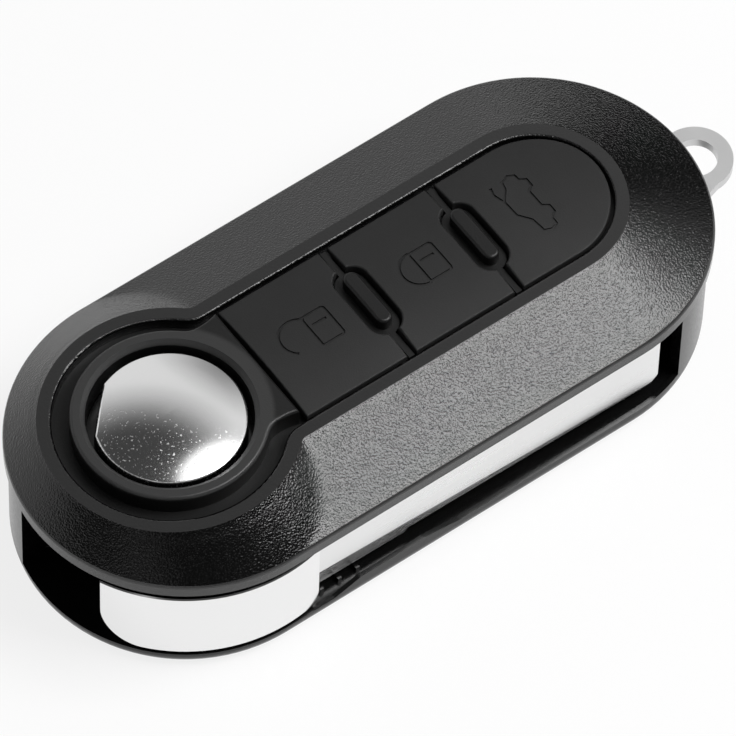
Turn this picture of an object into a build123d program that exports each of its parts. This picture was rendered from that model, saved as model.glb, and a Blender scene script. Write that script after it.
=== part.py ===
from build123d import *
import os
from math import cos, radians, sin, sqrt

# A folding car key with remote control: a flat case with round ends, three rubber keys and a polished
# release button on top, and a key blade that turns out of a slot in one long side.
# Millimetres. +X runs from the hinge end to the key ring end and +Z from the back face to the keys.
# The blade's slot faces -Y. The origin is on the back face, under the centre of the round hinge end.

# Case
cover_length = 72.0
cover_width = 32.8
back_thickness = 2.0
back_edge_radius = 1.7
rim_height = 1.4
bezel_rise = 3.8
bezel_edge_radius = 0.4
bezel_crease_radius = 2.0
ring_rim_inset = 0.03
lip_width = 1.35
lip_thickness = 1.3
lip_edge_radius = 0.25
cover_wall = 1.4
lower_inset = 0.45
lower_wall = 1.3
tongue_height = 0.7
tongue_thickness = 0.7
tongue_clearance = 0.15
inner_wall = 1.0
fit_gap = 0.05
cut_margin = 1.0

# Keyhole opening of the cover
ring_x = -1.7
ring_opening_radius = 10.6
strip_half_width = 7.2
strip_end_inset = 0.2
neck_radius = 2.6

# Slot for the blade
slot_end_offset = 5.7
slot_mouth_clearance = 1.05
slot_lip_width = 0.45
slot_lip_start = 10.4
slot_lip_profile = [(0.0, 0.0), (2.8, 0.9), (10.0, 1.0), (14.0, 0.4), (40.0, 0.4), (40.0, 0.0)]
channel_rib_xs = [4.6, 6.6, 8.6]
channel_rib_width = 0.4
channel_rib_height = 0.6
channel_wall_clearance = 1.9

# Blade and its pivot
pivot_x = -5.2
pivot_inset = 8.0
flip_angle = 180.0
blade_thickness = 2.5
blade_width = 8.0
blade_inset = 1.6
blade_tip_gap = 2.4
blade_root_x = -3.6
blade_lift = 0.8
blade_ledge_end = 14.0
blade_ledge_height = 0.42
blade_tip_corner = 0.9
blade_bevel_root_height = 2.2
blade_bevel_tip_height = 0.2
blade_bevel_root_depth = 0.45
blade_bevel_tip_depth = 0.04
head_gap = 0.35
head_height = 8.8
head_roof_gap = 1.45
head_inset = 0.5
head_start_angle = -154.5
head_end_angle = -76.0
head_edge = 0.12
head_edge_reach = 0.8
head_start_corner = 4.2
head_end_corner = 1.7
hub_radius = 5.2
hub_start_angle = 8.0
hub_end_angle = 152.0
blade_back_wall = 1.6
swing_clearance = 0.15
pivot_radius = 1.5
pivot_seat_depth = 1.1
pivot_rest_inner = 4.0
pivot_rest_outer = 5.0
roll_pin_radius = 0.75
roll_pin_x = 0.6
roll_pin_length = 4.6

# Flip spring and its cap
spring_bore_radius = 3.9
spring_bore_depth = 5.9
spring_coil_radius = 3.05
spring_wire_radius = 0.35
spring_turns = 4
spring_pitch = 0.9
spring_leg_length = 0.8
spring_leg_width = 0.5
cap_radius = 3.75
cap_thickness = 1.3
cap_key_width = 1.4
cap_key_length = 2.6
cap_key_depth = 0.8

# Lock disc on the hub and the button's latch leg beside it
disc_radius = 4.9
disc_height = 1.05
latch_clearance = 0.3
latch_angle = 20.0
latch_thickness = 1.2
latch_width = 2.4
latch_recess_depth = 1.35
notch_depth = 0.9
washer_radius = 3.2
washer_thickness = 0.3

# Mechanism plate under the ring
mechanism_thickness = 0.8
mechanism_radius = 12.0

# Keypad frame
frame_thickness = 1.1
frame_overlap = 0.7
ring_hole_radius = 7.6
ring_hole_edge = 0.45
ring_rise = 0.9
ring_top_width = 1.4
ring_edge_radius = 0.3
web_length = 0.8
web_side_gap = 0.75
web_junction_radius = 2.0
web_waist = 0.3
web_waist_length = 2.0
channel_depth = 0.5
channel_width = 1.0
rib_gap = 0.2
rib_width = 1.6
rib_length = 6.4
rib_rise = 1.3
rib_edge_radius = 0.3
rib_pocket_width = 3.4
rib_pocket_length = 8.2

# Release button
button_gap = 0.55
button_edge_rise = 0.25
button_dome = 0.9
button_edge_radius = 0.35
button_wall = 0.8
button_flat_angle = 137.0
button_flat_depth = 0.6
button_travel = 1.2
button_flange_reach = 0.5
button_flange_thickness = 0.6
button_flange_gap = 0.15
button_boss_radius = 2.3
guide_post_radius = 1.3
release_coil_radius = 3.2
release_wire_radius = 0.3
release_turns = 3

# Keys
key_pitch = 12.0
key_gap = 0.35
key_crown_rise = 0.4
key_crown_drop = 0.5
key_edge_radius = 0.18
key_underside_gap = 0.6
key_travel = 0.5
plunger_radius = 1.3
plunger_hole_clearance = 0.4

# Symbols sunk into the keys, as lines about each symbol's middle
symbol_width = 0.26
symbol_depth = 0.16
shackle_radius = 1.85
shackle_centre = -0.15
lock_body_length = 2.4
lock_body_half_width = 1.75
lock_corner_radius = 0.3
keyhole_offset = 0.55
keyhole_margin = 0.45
open_shackle_shift = 1.25
open_shackle_start_angle = 40.0
open_shackle_end_angle = 235.0
car_outline = [(0.9, -3.2), (0.3, -3.5), (-0.5, -3.2), (-0.7, -1.7), (-1.6, -0.5), (-1.65, 1.3), (-0.75, 2.4),
               (-0.5, 3.2), (0.3, 3.5), (0.9, 3.2), (0.9, 2.6), (1.5, 2.2), (1.5, 1.4), (0.9, 1.0),
               (0.9, -0.9), (1.5, -1.3), (1.5, -2.1), (0.9, -2.5)]
car_lid = [(-1.65, 1.3), (-2.0, 2.5), (-1.75, 3.3)]

# Circuit board and what it carries
board_drop = 1.6
board_thickness = 1.0
board_gap = 0.4
switch_size = 4.6
switch_height = 1.4
stem_radius = 1.0
stem_height = 0.6
stem_length = 1.0
chip_length = 6.6
chip_width = 4.4
chip_height = 1.0
chip_leg_count = 7
chip_leg_pitch = 0.8
chip_leg_width = 0.35
chip_leg_reach = 0.9
crystal_length = 4.0
crystal_width = 2.2
crystal_height = 1.1
parts_row_inset = 3.4
aerial_y = 8.6
aerial_length = 9.0
aerial_winding_length = 6.2
aerial_width = 2.4
aerial_height = 1.9
post_radius = 1.5
post_pin_radius = 0.6
post_side_inset = 2.6
post_edge_inset = 2.1

# Coin cell and contacts
cell_radius = 10.0
cell_height = 3.2
cell_end_gap = 11.2
cell_lift = 1.0
cell_ledge_width = 1.0
cradle_clearance = 0.2
cradle_height = 3.0
strip_thickness = 0.3
strip_width = 3.0
contact_slot_width = 4.0
contact_leg_gap = 1.6

# Transponder and its pocket
transponder_length = 8.0
transponder_width = 4.0
transponder_height = 2.6
transponder_wall_gap = 5.7
pocket_height = 1.6

# Key ring loop
loop_radius = 3.5
loop_hole_radius = 2.05
loop_thickness = 1.0
loop_height = 6.9
loop_reach = 2.3
loop_tail_half_width = 4.2
loop_tail_length = 7.4
loop_tail_inset = 0.2
anchor_inset = 4.8
anchor_radius = 1.5
anchor_shoulder = 2.6

# Case screws
screw_radius = 1.0
screw_head_radius = 1.8
screw_head_height = 1.0
screw_slot_width = 0.35
screw_slot_depth = 0.5
screw_reach = 1.0
screw_split_drop = 2.0
screw_boss_radius = 2.2
cover_boss_radius = 1.75
near_screw_inset = 2.4
near_screw_angle = 130.7
far_screw_inset = 2.85
far_screw_angle = 46.0

# Mechanism plate screws
plate_screw_radius = 0.6
plate_screw_head_radius = 1.1
plate_screw_head_height = 0.7
plate_screw_length = 2.6
plate_boss_radius = 1.3
plate_screw_offset = 0.3
plate_screw_angles = [100.0, -51.0, 51.0]


def polar(centre_x, centre_y, radius, angle):
    return (centre_x + radius * cos(radians(angle)), centre_y + radius * sin(radians(angle)))


def reach(start, stop):
    return sqrt((stop[0] - start[0]) ** 2 + (stop[1] - start[1]) ** 2)


# Plan sizes that follow from the above
end_radius = cover_width / 2
far_x = cover_length - cover_width
cover_end_x = far_x + end_radius
lower_radius = end_radius - lower_inset
lower_inner_radius = lower_radius - lower_wall
cover_inner_radius = end_radius - cover_wall
tongue_outer_radius = cover_inner_radius - tongue_clearance
tongue_inner_radius = tongue_outer_radius - tongue_thickness
strip_end_x = far_x - strip_end_inset
ring_lip_radius = ring_opening_radius + lip_width
strip_lip_half_width = strip_half_width + lip_width
ring_crest_radius = ring_hole_radius + ring_top_width
button_radius = ring_hole_radius - button_gap
button_flat_distance = button_radius - button_flat_depth
button_flange_radius = ring_hole_radius + button_flange_reach

# The blade's place, the circles that its head sweeps, and the walls that clear them
head_radius = end_radius - head_inset
blade_outer_y = -(end_radius - blade_inset)
blade_inner_y = blade_outer_y + blade_thickness
pivot_y = blade_outer_y + pivot_inset
slot_far_x = far_x + slot_end_offset
blade_tip_x = slot_far_x - blade_tip_gap
pivot = (pivot_x, pivot_y)
head_start = polar(0, 0, head_radius, head_start_angle)
head_stop = polar(0, 0, head_radius, head_end_angle)
head_shoulder = (head_stop[0], blade_inner_y + blade_back_wall)
hub_end_point = polar(pivot_x, pivot_y, hub_radius, hub_end_angle)
start_sweep = reach(pivot, head_start)
stop_sweep = max(reach(pivot, head_stop), reach(pivot, head_shoulder))
slot_mouth_y = pivot_y + start_sweep + slot_mouth_clearance
bay_wall_x = pivot_x + stop_sweep + swing_clearance
channel_wall_y = blade_inner_y + channel_wall_clearance

# Heights that follow from the above
head_bottom = back_thickness + head_gap
head_top = head_bottom + head_height
parting_height = head_top + head_roof_gap
bezel_height = parting_height + rim_height
lip_height = bezel_height + bezel_rise
lip_underside = lip_height - lip_thickness
inner_slope_start = bezel_height - lip_thickness / 2
frame_top = lip_underside
frame_bottom = frame_top - frame_thickness
ring_top_height = lip_height + ring_rise
channel_floor_height = lip_height - channel_depth
rib_top_height = channel_floor_height + rib_rise
key_crown_height = lip_height + key_crown_rise
key_bottom = frame_top + key_underside_gap
button_edge_height = lip_height + button_edge_rise
button_flange_top = frame_bottom - button_flange_gap
button_flange_bottom = button_flange_top - button_flange_thickness
blade_bottom = head_bottom + blade_lift
blade_top = blade_bottom + blade_width
cap_top = back_thickness + cap_thickness
disc_top = head_top + disc_height
mechanism_bottom = disc_top + washer_thickness
mechanism_top = mechanism_bottom + mechanism_thickness
board_bottom = parting_height - board_drop
board_top = board_bottom + board_thickness
switch_top = board_top + switch_height
plunger_bottom = switch_top + stem_height
screw_split_height = board_bottom - screw_split_drop
screw_end_height = parting_height + screw_reach
loop_top = back_thickness + loop_height
loop_bottom = loop_top - loop_thickness
cell_bottom = back_thickness + cell_lift
cell_top = cell_bottom + cell_height

# Places of the small parts
latch_inner = disc_radius + latch_clearance
latch_recess_radius = latch_inner + latch_thickness + latch_clearance
first_channel_x = ring_x + ring_crest_radius + web_length
channel_xs = [first_channel_x + key_pitch * i for i in range(3)]
key_half_width = strip_half_width - key_gap
board_start_x = bay_wall_x + inner_wall + fit_gap
board_side_y = channel_wall_y + board_gap
parts_row_y = board_side_y + parts_row_inset
aerial_x = channel_xs[1] + parts_row_inset / 2
post_points = [(board_start_x + post_side_inset, board_side_y + post_edge_inset),
               (board_start_x + post_side_inset, lower_inner_radius - post_side_inset - board_gap),
               (far_x - 2 * post_side_inset, lower_inner_radius - post_side_inset),
               (far_x + post_side_inset, board_side_y + post_edge_inset)]
cell_x = far_x - cell_end_gap
cell_y = channel_wall_y + cell_radius + cradle_clearance + inner_wall
negative_leg_x = cell_x + cell_radius + contact_leg_gap
positive_leg_x = cell_x - cell_radius - contact_leg_gap
transponder_x = bay_wall_x - transponder_wall_gap
transponder_y = (slot_mouth_y + inner_wall + lower_inner_radius) / 2
loop_x = cover_end_x + loop_reach
loop_tail_start_x = cover_end_x - loop_tail_inset
loop_tail_end_x = loop_tail_start_x - loop_tail_length
anchor_x = cover_end_x - anchor_inset
screw_points = [polar(0, 0, lower_inner_radius - near_screw_inset, near_screw_angle),
                polar(far_x, 0, lower_inner_radius - far_screw_inset, far_screw_angle),
                polar(far_x, 0, lower_inner_radius - far_screw_inset, -far_screw_angle)]
plate_screw_points = [polar(ring_x, 0, ring_opening_radius + plate_screw_offset, angle)
                      for angle in plate_screw_angles]


def block(sketch, bottom, top):
    # A straight block of a flat outline between two heights.
    return extrude(Pos(0, 0, bottom) * sketch, amount=top - bottom)


def disc(x, y, radius):
    return Pos(x, y) * Circle(radius)


def pad(low_x, high_x, low_y, high_y):
    # A rectangle by its edges.
    centre = Pos((low_x + high_x) / 2, (low_y + high_y) / 2)
    return centre * Rectangle(high_x - low_x, high_y - low_y)


def stadium(start_x, stop_x, radius):
    # Two equal arcs about points on the X axis, joined by straight sides.
    return Pos((start_x + stop_x) / 2, 0) * SlotCenterToCenter(stop_x - start_x, 2 * radius)


def pill(x, y, length, width):
    # A round-ended bar that runs along Y.
    return Pos(x, y) * Rot(0, 0, 90) * SlotOverall(length, width)


def edges_at_height(solid, height, tolerance=0.01):
    return [edge for edge in solid.edges()
            if abs(edge.bounding_box().min.Z - height) < tolerance
            and abs(edge.bounding_box().max.Z - height) < tolerance]


def keyhole(ring_radius, half_width):
    # The ring's circle and the key strip in one outline, with rounded inner corners at the neck.
    outline = disc(ring_x, 0, ring_radius) + stadium(0, strip_end_x, half_width)
    neck_x = ring_x + sqrt(ring_radius ** 2 - half_width ** 2)
    corners = [vertex for vertex in outline.vertices() if abs(vertex.X - neck_x) < fit_gap]
    return fillet(corners, neck_radius)


def bezel(rim_radius, low, rim_height, ring_radius, half_width, top, edge_radius):
    # The ring's cone and the strip's slopes meet in a crease on each side of the neck.
    # The cone's rim is a hair smaller, so that the two never share a surface.
    cone_rim = Circle(rim_radius - ring_rim_inset)
    ring_cone = block(cone_rim, low, rim_height)
    ring_cone += loft([Pos(0, 0, rim_height) * cone_rim, Pos(ring_x, 0, top) * Circle(ring_radius)])
    strip_slope = block(stadium(0, far_x, rim_radius), low, rim_height)
    strip_slope += loft([Pos(0, 0, rim_height) * stadium(0, far_x, rim_radius),
                         Pos(0, 0, top) * stadium(0, strip_end_x, half_width)])
    if not edge_radius:
        return ring_cone + strip_slope
    ring_cone = fillet(edges_at_height(ring_cone, rim_height), edge_radius)
    strip_slope = fillet(edges_at_height(strip_slope, rim_height), edge_radius)
    shape = ring_cone + strip_slope
    sloping = [edge for edge in shape.edges() if edge.bounding_box().max.Z > top - fit_gap
               and edge.bounding_box().min.Z < rim_height + bezel_rise / 2]
    creases = [edge for edge in sloping if edge.center().X < far_x / 2]
    return fillet(creases, bezel_crease_radius)


def opening_edges(shape):
    # The upper edges of the keyhole opening, which lie nearer the middle than the lip's outer edge.
    middle = lip_width / 2
    found = []
    for edge in edges_at_height(shape, lip_height):
        point = edge @ 0.5
        in_ring = reach((ring_x, 0), (point.X, point.Y)) < ring_opening_radius + middle
        in_strip = point.X > 0 and abs(point.Y) < strip_half_width + middle
        if in_strip and point.X > strip_end_x:
            in_strip = reach((strip_end_x, 0), (point.X, point.Y)) < strip_half_width + middle
        if in_ring or in_strip:
            found.append(edge)
    return found


def frame_outline(gap):
    # The keypad frame's plate, a little wider than the opening that it closes from inside.
    ring = disc(ring_x, 0, ring_lip_radius - frame_overlap - tongue_clearance + gap)
    return ring + stadium(0, strip_end_x, strip_half_width + frame_overlap + gap)


def make_upper_cover():
    shape = bezel(end_radius, parting_height, bezel_height, ring_lip_radius, strip_lip_half_width, lip_height,
                  bezel_edge_radius)
    outside = shape
    inner_ring_radius = ring_lip_radius - frame_overlap
    inner_half_width = strip_lip_half_width - frame_overlap / 2
    shape -= bezel(cover_inner_radius, parting_height - cut_margin, inner_slope_start, inner_ring_radius,
                   inner_half_width, lip_underside, 0)
    opening = keyhole(ring_opening_radius, strip_half_width)
    shape -= block(opening, lip_underside - cut_margin, lip_height + cut_margin)
    shape = fillet(opening_edges(shape), lip_edge_radius)
    bosses = Part()
    for x, y in screw_points:
        bosses += block(disc(x, y, cover_boss_radius), screw_split_height + fit_gap, lip_height)
    for x, y in plate_screw_points:
        bosses += block(disc(x, y, plate_boss_radius), mechanism_top, lip_height)
    bosses &= outside + block(stadium(0, far_x, cover_inner_radius), screw_split_height, parting_height)
    bosses -= block(frame_outline(tongue_clearance), frame_bottom - fit_gap, lip_height + cut_margin)
    shape += bosses
    for x, y in screw_points:
        shape -= block(disc(x, y, screw_radius + fit_gap), screw_split_height, screw_end_height + fit_gap)
    for x, y in plate_screw_points:
        hole_top = mechanism_bottom + plate_screw_length + fit_gap
        shape -= block(disc(x, y, plate_screw_radius + fit_gap), mechanism_bottom, hole_top)
    return shape


def make_lower_shell():
    shape = block(stadium(0, far_x, lower_radius), 0, back_thickness)
    shape += block(stadium(0, far_x, lower_radius), 0, parting_height)
    shape = fillet(edges_at_height(shape, 0), back_edge_radius)
    shape -= block(stadium(0, far_x, lower_inner_radius), back_thickness, parting_height + cut_margin)
    tongue = stadium(0, far_x, tongue_outer_radius) - stadium(0, far_x, tongue_inner_radius)
    shape += block(tongue, parting_height - tongue_height, parting_height + tongue_height)
    opening = pad(-cover_length, slot_far_x, -cover_width, slot_mouth_y)
    shape -= block(opening, back_thickness, parting_height + 2 * tongue_height)
    shape += make_slot_lip()
    inside = stadium(0, far_x, lower_inner_radius + fit_gap)
    bay_corner_y = slot_mouth_y + inner_wall
    walls = pad(bay_wall_x, slot_far_x + lower_wall, channel_wall_y - inner_wall, channel_wall_y)
    walls += pad(bay_wall_x, bay_wall_x + inner_wall, channel_wall_y - inner_wall, bay_corner_y)
    walls += pad(-lower_radius, bay_wall_x + inner_wall, slot_mouth_y, bay_corner_y)
    walls &= inside
    shape += block(walls, back_thickness, board_bottom)
    shape += make_shell_fittings()
    for x, y in screw_points:
        shape -= block(disc(x, y, screw_radius + fit_gap), -cut_margin, screw_split_height + cut_margin)
        shape -= block(disc(x, y, screw_head_radius + fit_gap), -cut_margin, screw_head_height)
    seat = disc(pivot_x, pivot_y, pivot_radius + fit_gap)
    shape -= block(seat, back_thickness - pivot_seat_depth, back_thickness + cut_margin)
    cap_slot = Rectangle(cap_key_width + 2 * fit_gap, cap_key_length + 2 * fit_gap)
    cap_slot = Pos(pivot_x, pivot_y) * cap_slot
    shape -= block(cap_slot, back_thickness - cap_key_depth - fit_gap, back_thickness + cut_margin)
    slot_half_width = loop_tail_half_width + fit_gap
    loop_slot = pad(anchor_x + anchor_radius + fit_gap, cover_length, -slot_half_width, slot_half_width)
    shape -= block(loop_slot, loop_bottom - fit_gap, loop_top + fit_gap)
    shape += block(disc(anchor_x, 0, anchor_radius), loop_bottom - loop_thickness, loop_top + loop_thickness)
    return shape


def make_slot_lip():
    # A low wall along the slot's outer edge, higher beside the head, and small ribs on the channel's floor.
    ring = stadium(0, far_x, lower_radius) - stadium(0, far_x, lower_radius - slot_lip_width)
    start_x = pivot_x + slot_lip_start
    ring &= pad(start_x, slot_far_x, -cover_width, 0)
    points = [(start_x + x, back_thickness + z) for x, z in slot_lip_profile]
    with BuildSketch(Plane.XZ) as side:
        with BuildLine():
            Polyline(*points, close=True)
        make_face()
    shape = extrude(side.sketch, amount=cover_width) & block(ring, back_thickness, parting_height)
    for x in channel_rib_xs:
        rib = pad(x - channel_rib_width / 2, x + channel_rib_width / 2, blade_outer_y, channel_wall_y)
        shape += block(rib, back_thickness, back_thickness + channel_rib_height)
    return shape


def make_shell_fittings():
    # Posts, bosses, cradle and ribs that stand on the floor of the lower shell.
    inside = stadium(0, far_x, lower_inner_radius + fit_gap)
    fittings = Part()
    for x, y in post_points:
        fittings += block(disc(x, y, post_radius) & inside, back_thickness, board_bottom)
        fittings += block(disc(x, y, post_pin_radius), board_bottom - board_thickness, board_top)
    for x, y in screw_points:
        boss = disc(x, y, screw_boss_radius) & inside
        fittings += block(boss, back_thickness, screw_split_height)
    cradle = disc(cell_x, cell_y, cell_radius + cradle_clearance + inner_wall)
    cradle -= disc(cell_x, cell_y, cell_radius + cradle_clearance)
    cradle -= pad(cell_x, cover_length, cell_y - contact_slot_width / 2, cell_y + contact_slot_width / 2)
    fittings += block(cradle, back_thickness, back_thickness + cradle_height)
    ledge = disc(cell_x, cell_y, cell_radius + cradle_clearance)
    ledge -= disc(cell_x, cell_y, cell_radius - cell_ledge_width)
    ledge -= pad(cell_x, cover_length, cell_y - contact_slot_width / 2, cell_y + contact_slot_width / 2)
    fittings += block(ledge, back_thickness, cell_bottom)
    rest = disc(pivot_x, pivot_y, pivot_rest_outer) - disc(pivot_x, pivot_y, pivot_rest_inner)
    fittings += block(rest, back_thickness, head_bottom - fit_gap)
    pocket = Rectangle(transponder_length + 2 * inner_wall, transponder_width + 2 * inner_wall)
    pocket -= Rectangle(transponder_length + 2 * fit_gap, transponder_width + 2 * fit_gap)
    pocket = Pos(transponder_x, transponder_y) * pocket
    fittings += block(pocket & inside, back_thickness, back_thickness + pocket_height)
    fittings += block(disc(anchor_x, 0, anchor_shoulder), back_thickness, loop_bottom)
    return fittings


def make_mechanism_plate():
    plate = disc(ring_x, 0, mechanism_radius)
    for x, y in plate_screw_points:
        plate += disc(x, y, plate_boss_radius)
        plate -= disc(x, y, plate_screw_radius + fit_gap)
    for x, y in screw_points:
        plate -= disc(x, y, cover_boss_radius + latch_clearance)
    plate &= stadium(0, far_x, tongue_inner_radius - tongue_clearance)
    plate -= disc(pivot_x, pivot_y, pivot_radius + fit_gap)
    plate -= latch_outline(2 * fit_gap)
    shape = block(plate, mechanism_bottom, mechanism_top)
    shape += block(disc(ring_x, 0, guide_post_radius), mechanism_top - fit_gap, frame_bottom)
    return shape


def latch_outline(margin):
    # The latch leg's section, in line with the pivot.
    middle = latch_inner + latch_thickness / 2
    x, y = polar(pivot_x, pivot_y, middle, latch_angle)
    section = Rectangle(latch_thickness + 2 * margin, latch_width + 2 * margin)
    return Pos(x, y) * Rot(0, 0, latch_angle) * section


def make_release_button():
    dome_radius = (button_radius ** 2 + button_dome ** 2) / (2 * button_dome)
    dome_centre = button_edge_height + button_dome - dome_radius
    top = button_edge_height + button_dome
    shape = block(disc(ring_x, 0, button_radius), button_flange_bottom, top)
    shape &= Pos(ring_x, 0, dome_centre) * Sphere(dome_radius)
    flat_x, flat_y = polar(ring_x, 0, button_flat_distance + button_radius, button_flat_angle)
    flat = Rot(0, 0, button_flat_angle) * Rectangle(2 * button_radius, 3 * button_radius)
    flat = Pos(flat_x, flat_y) * flat
    shape -= block(flat, button_flange_top, top + cut_margin)
    crown = [edge for edge in shape.edges()
             if edge.bounding_box().min.Z > button_edge_height - button_dome]
    shape = fillet(crown, button_edge_radius)
    shape += block(disc(ring_x, 0, button_flange_radius), button_flange_bottom, button_flange_top)
    roof = button_edge_height - button_wall
    cavity = disc(ring_x, 0, button_flat_distance - button_wall)
    shape -= block(cavity, button_flange_bottom - cut_margin, roof)
    boss_bottom = mechanism_top + button_travel + fit_gap
    shape += block(disc(ring_x, 0, button_boss_radius), boss_bottom, roof)
    guide_top = frame_bottom + button_travel + fit_gap
    shape -= block(disc(ring_x, 0, guide_post_radius + fit_gap), boss_bottom - cut_margin, guide_top)
    leg_bottom = disc_top - disc_height + latch_clearance
    shape += block(latch_outline(0), leg_bottom, roof)
    return shape


def helix_spring(x, y, coil_radius, wire_radius, pitch, turns, bottom):
    path = Helix(pitch=pitch, height=pitch * turns, radius=coil_radius)
    section = Plane(origin=path @ 0, z_dir=path % 0) * Circle(wire_radius)
    return Pos(x, y, bottom) * sweep(section, path=path)


def make_release_spring():
    lowest = mechanism_top + release_wire_radius
    highest = button_edge_height - button_wall - release_wire_radius
    pitch = (highest - lowest) / release_turns
    return helix_spring(ring_x, 0, release_coil_radius, release_wire_radius, pitch, release_turns, lowest)


def make_flip_spring():
    bottom = cap_top + spring_wire_radius
    coil = helix_spring(pivot_x, pivot_y, spring_coil_radius, spring_wire_radius, spring_pitch,
                        spring_turns, bottom)
    height = spring_pitch * spring_turns
    leg_end = head_bottom + spring_bore_depth + spring_leg_length
    leg = Pos(pivot_x + spring_coil_radius, pivot_y) * Rectangle(spring_leg_width, spring_leg_width)
    coil += block(leg, cap_top - spring_leg_length, bottom)
    coil += block(leg, bottom + height, leg_end)
    return coil


def make_spring_cap():
    shape = block(disc(pivot_x, pivot_y, cap_radius), back_thickness, cap_top)
    key = Pos(pivot_x, pivot_y) * Rectangle(cap_key_width, cap_key_length)
    shape += block(key, back_thickness - cap_key_depth, back_thickness)
    shape -= block(disc(pivot_x, pivot_y, pivot_radius + fit_gap), 0, cap_top + cut_margin)
    hole = disc(pivot_x + spring_coil_radius, pivot_y, spring_wire_radius + fit_gap)
    shape -= block(hole, cap_top - spring_leg_length - fit_gap, cap_top + cut_margin)
    return shape


def head_outline():
    # The outer face follows the hinge end, and the hub round the pivot joins its two ends.
    middle = polar(0, 0, head_radius, (head_start_angle + head_end_angle) / 2)
    hub_start = polar(pivot_x, pivot_y, hub_radius, hub_start_angle)
    hub_middle = polar(pivot_x, pivot_y, hub_radius, (hub_start_angle + hub_end_angle) / 2)
    with BuildSketch() as sketch:
        with BuildLine():
            ThreePointArc(head_start, middle, head_stop)
            Polyline(head_stop, head_shoulder, hub_start)
            ThreePointArc(hub_start, hub_middle, hub_end_point)
            Line(hub_end_point, head_start)
        make_face()
    return sketch.sketch


def make_blade_head():
    outline = head_outline()
    shape = block(outline, head_bottom, head_top)
    middle = ((head_start[0] + hub_end_point[0]) / 2, (head_start[1] + hub_end_point[1]) / 2)
    start_edge = [edge for edge in edges_at_height(shape, head_bottom)
                  if reach(middle, (edge.center().X, edge.center().Y)) < fit_gap]
    shape = fillet(start_edge, head_start_corner)
    end_edges = [edge for edge in edges_at_height(shape, head_bottom)
                 if abs(edge.center().X - head_stop[0]) < fit_gap]
    shape = fillet(end_edges, head_end_corner)
    outer_edges = [edge for edge in shape.edges()
                   if abs(sqrt(edge.center().X ** 2 + edge.center().Y ** 2) - head_radius) < head_edge_reach]
    shape = chamfer(outer_edges, head_edge)
    shape += block(disc(pivot_x, pivot_y, disc_radius), head_top, disc_top)
    for side in (0, flip_angle):
        angle = latch_angle + side
        x, y = polar(pivot_x, pivot_y, disc_radius, angle)
        notch = Rectangle(2 * notch_depth, latch_width + 2 * latch_clearance)
        notch = Pos(x, y) * Rot(0, 0, angle) * notch
        shape -= block(notch, head_top, disc_top + cut_margin)
    groove = disc(pivot_x, pivot_y, latch_recess_radius) - disc(pivot_x, pivot_y, disc_radius - notch_depth)
    shape -= block(groove, head_top - latch_recess_depth, head_top)
    shape -= block(disc(pivot_x, pivot_y, pivot_radius + fit_gap), 0, disc_top + cut_margin)
    shape -= block(disc(pivot_x, pivot_y, spring_bore_radius), 0, head_bottom + spring_bore_depth)
    leg_hole = disc(pivot_x + spring_coil_radius, pivot_y, spring_wire_radius + fit_gap)
    shape -= block(leg_hole, 0, head_bottom + spring_bore_depth + spring_leg_length + fit_gap)
    slot = pad(blade_root_x - fit_gap, cover_length, blade_outer_y - fit_gap, blade_inner_y + fit_gap)
    shape -= block(slot, blade_bottom - fit_gap, blade_top + cut_margin)
    shape -= roll_pin_shape(fit_gap)
    return shape


def roll_pin_shape(margin):
    # The roll pin runs along Y from behind the blade.
    height = (blade_bottom + blade_top) / 2
    plane = Plane(origin=(roll_pin_x, blade_outer_y, height), z_dir=(0, 1, 0))
    return extrude(plane * Circle(roll_pin_radius + margin), amount=roll_pin_length + margin)


def make_roll_pin():
    height = (blade_bottom + blade_top) / 2
    plane = Plane(origin=(roll_pin_x, blade_outer_y, height), z_dir=(0, 1, 0))
    return roll_pin_shape(0) - extrude(plane * Circle(roll_pin_radius / 2), amount=2 * roll_pin_length)


def make_blade():
    # Its lower edge steps up past the root, and a bevel that tapers away runs along it outside.
    ledge_top = blade_bottom + blade_ledge_height
    low_tip = blade_tip_x - blade_tip_corner
    with BuildSketch(Plane.XZ) as side:
        with BuildLine():
            Polyline((blade_root_x, blade_bottom), (blade_ledge_end, blade_bottom),
                     (blade_ledge_end + blade_ledge_height, ledge_top), (low_tip, ledge_top),
                     (blade_tip_x, ledge_top + blade_tip_corner), (blade_tip_x, blade_top - blade_tip_corner),
                     (low_tip, blade_top), (blade_root_x, blade_top), (blade_root_x, blade_bottom))
        make_face()
    shape = Pos(0, blade_inner_y, 0) * extrude(side.sketch, amount=blade_thickness)
    root = bevel_section(blade_bevel_root_height, blade_bevel_root_depth)
    tip = bevel_section(blade_bevel_tip_height, blade_bevel_tip_depth)
    root_plane = Plane(origin=(head_stop[0], blade_outer_y, ledge_top), x_dir=(0, 1, 0), z_dir=(1, 0, 0))
    tip_plane = Plane(origin=(blade_tip_x, blade_outer_y, ledge_top), x_dir=(0, 1, 0), z_dir=(1, 0, 0))
    shape -= loft([root_plane * root, tip_plane * tip])
    return shape - roll_pin_shape(fit_gap)


def bevel_section(height, depth):
    # A thin triangle under the blade's outer face, with its long side on that face.
    low = -2 * blade_ledge_height
    points = [(-cut_margin, low), (depth, low), (depth, 0), (0, height), (-cut_margin, height)]
    return Polygon(*points, align=None)


def make_pivot_pin():
    return block(disc(pivot_x, pivot_y, pivot_radius), back_thickness - pivot_seat_depth, mechanism_top)


def make_pivot_washer():
    ring = disc(pivot_x, pivot_y, washer_radius) - disc(pivot_x, pivot_y, pivot_radius + fit_gap)
    return block(ring, disc_top, mechanism_bottom)


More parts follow.
